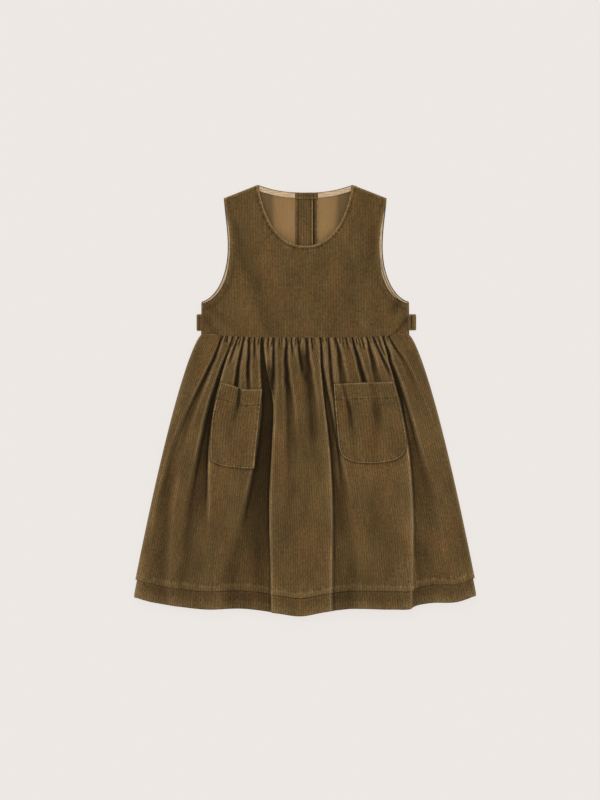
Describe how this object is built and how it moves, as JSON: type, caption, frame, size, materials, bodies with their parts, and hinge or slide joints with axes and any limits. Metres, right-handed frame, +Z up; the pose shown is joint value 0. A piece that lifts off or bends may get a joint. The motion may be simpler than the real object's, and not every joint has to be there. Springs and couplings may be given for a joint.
{
  "type": "pinafore dress",
  "caption": "Child's sleeveless corduroy pinafore dress laid flat: U neck, buttoned back, gathered skirt with patch pockets, a tuck above the hem and belt loops.",
  "frame": {"origin": "on the surface the dress lies on, below the middle of its outline, in the rest face under the back skirt", "axes": "+Y from hem to shoulders, +X to the right of a viewer looking down at the front, +Z up out of the front"},
  "size_m": [0.481, 0.6041, 0.0195],
  "materials": {
    "corduroy": "olive-brown cotton corduroy with a soft pile",
    "corduroy_inside": "plain tan wrong side of the corduroy, corduroy pile underneath",
    "binding": "sand cotton bias binding with a slight lustre",
    "button": "dark brown four-hole button"
  },
  "bodies": {
    "root": {"bodice_front": "corduroy", "bodice_back_left": "corduroy_inside", "bodice_back_right": "corduroy_inside", "placket_facing_left": "corduroy", "placket_facing_right": "corduroy", "neck_binding_left": "binding", "neck_binding_right": "binding", "armhole_binding_left": "binding", "armhole_binding_right": "binding", "skirt_front": "corduroy", "skirt_back": "corduroy", "pocket_left": "corduroy", "pocket_right": "corduroy", "belt_loop_left": "corduroy", "belt_loop_right": "corduroy", "button_1": "button", "button_2": "button", "button_3": "button", "button_4": "button"}
  },
  "joints": []
}
